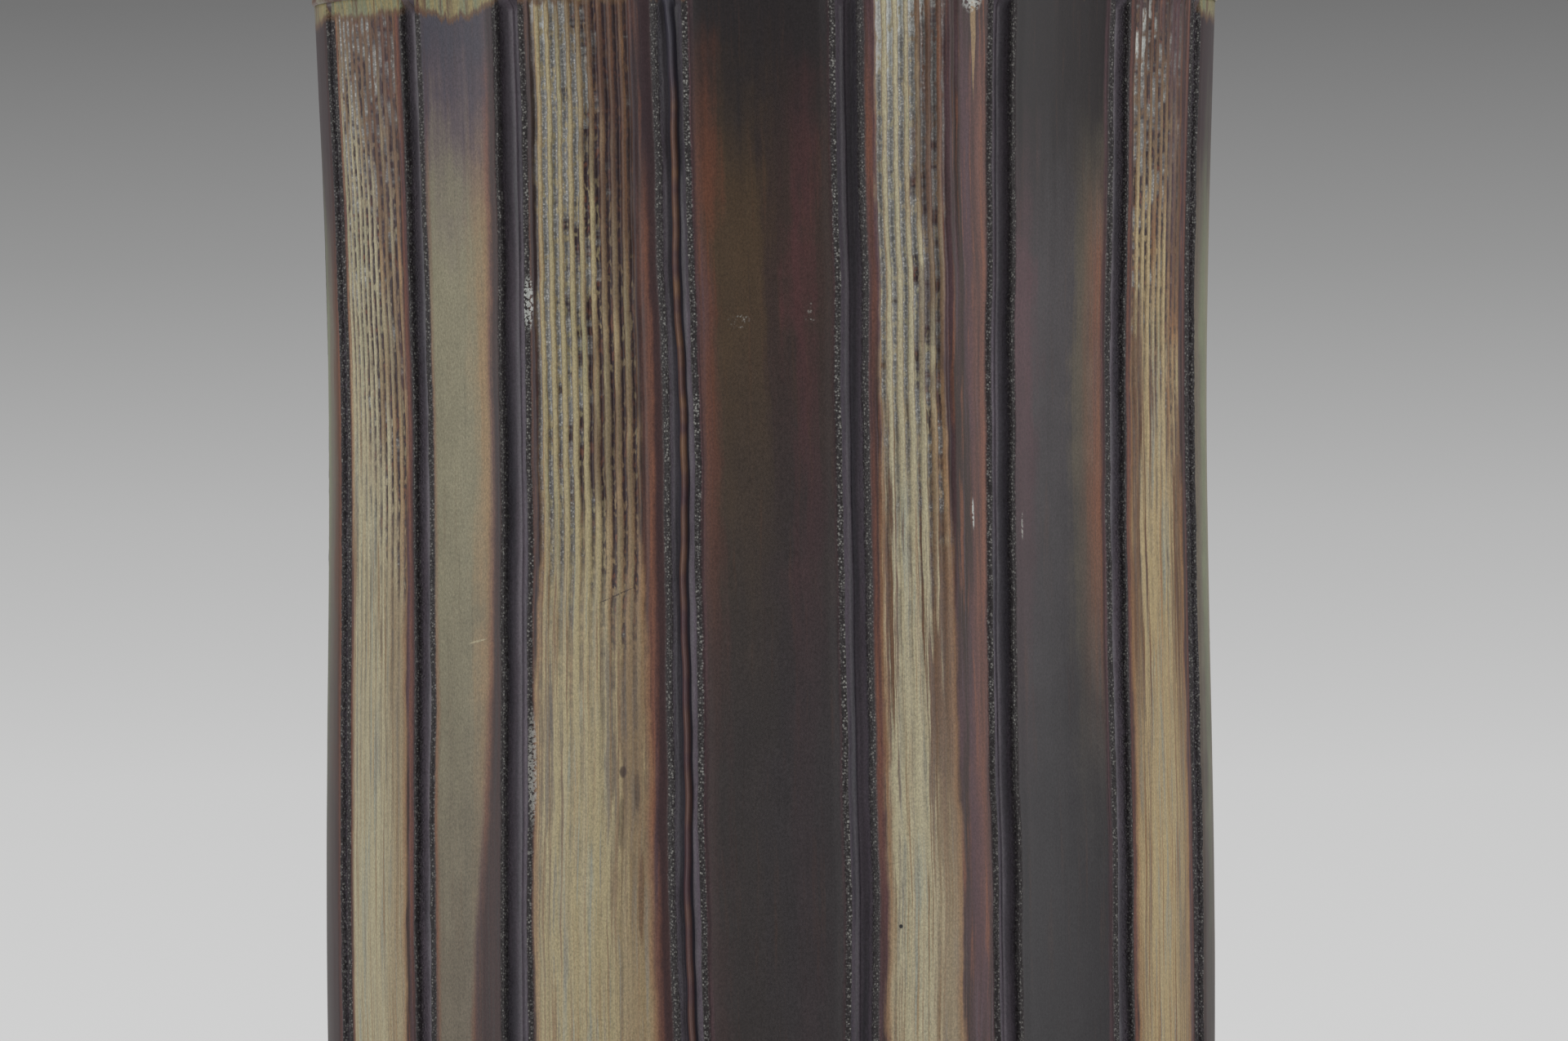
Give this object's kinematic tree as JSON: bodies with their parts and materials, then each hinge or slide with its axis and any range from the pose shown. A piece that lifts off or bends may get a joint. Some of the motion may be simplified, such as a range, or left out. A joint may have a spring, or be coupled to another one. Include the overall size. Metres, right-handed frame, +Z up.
{
  "type": "vase",
  "caption": "Tall cylindrical stoneware vase with a slight waist; combed and smooth upright panels alternate round it like split bamboo, parted by dark grooves.",
  "frame": {"origin": "middle of the foot ring's underside, on the surface that the vase stands on", "axes": "+Z up along the vase's axis; -Y towards the smooth panel that faces the viewer; +X to its right"},
  "size_m": [0.133, 0.133, 0.28],
  "materials": {
    "bare_clay": "unglazed, fired",
    "dark_glaze": "satin glaze",
    "olive_glaze": "satin glaze",
    "rust_glaze": "satin glaze",
    "cream_glaze": "satin glaze",
    "brown_glaze": "satin glaze"
  },
  "bodies": {
    "root": {"foot_ring": "bare_clay", "base_slab": "dark_glaze", "inner_wall": "dark_glaze", "rim_band": "olive_glaze", "groove_fin": "rust_glaze", "combed_panel_01": "cream_glaze", "smooth_panel_02": "brown_glaze", "combed_panel_03": "cream_glaze", "smooth_panel_04": "brown_glaze", "combed_panel_05": "cream_glaze", "smooth_panel_06": "brown_glaze", "combed_panel_07": "cream_glaze", "smooth_panel_08": "brown_glaze", "combed_panel_09": "cream_glaze", "smooth_panel_10": "brown_glaze", "combed_panel_11": "cream_glaze", "smooth_panel_12": "brown_glaze", "combed_panel_13": "cream_glaze", "smooth_panel_14": "brown_glaze", "combed_panel_15": "cream_glaze", "smooth_panel_16": "brown_glaze", "combed_panel_17": "cream_glaze", "smooth_panel_18": "brown_glaze"}
  },
  "joints": []
}
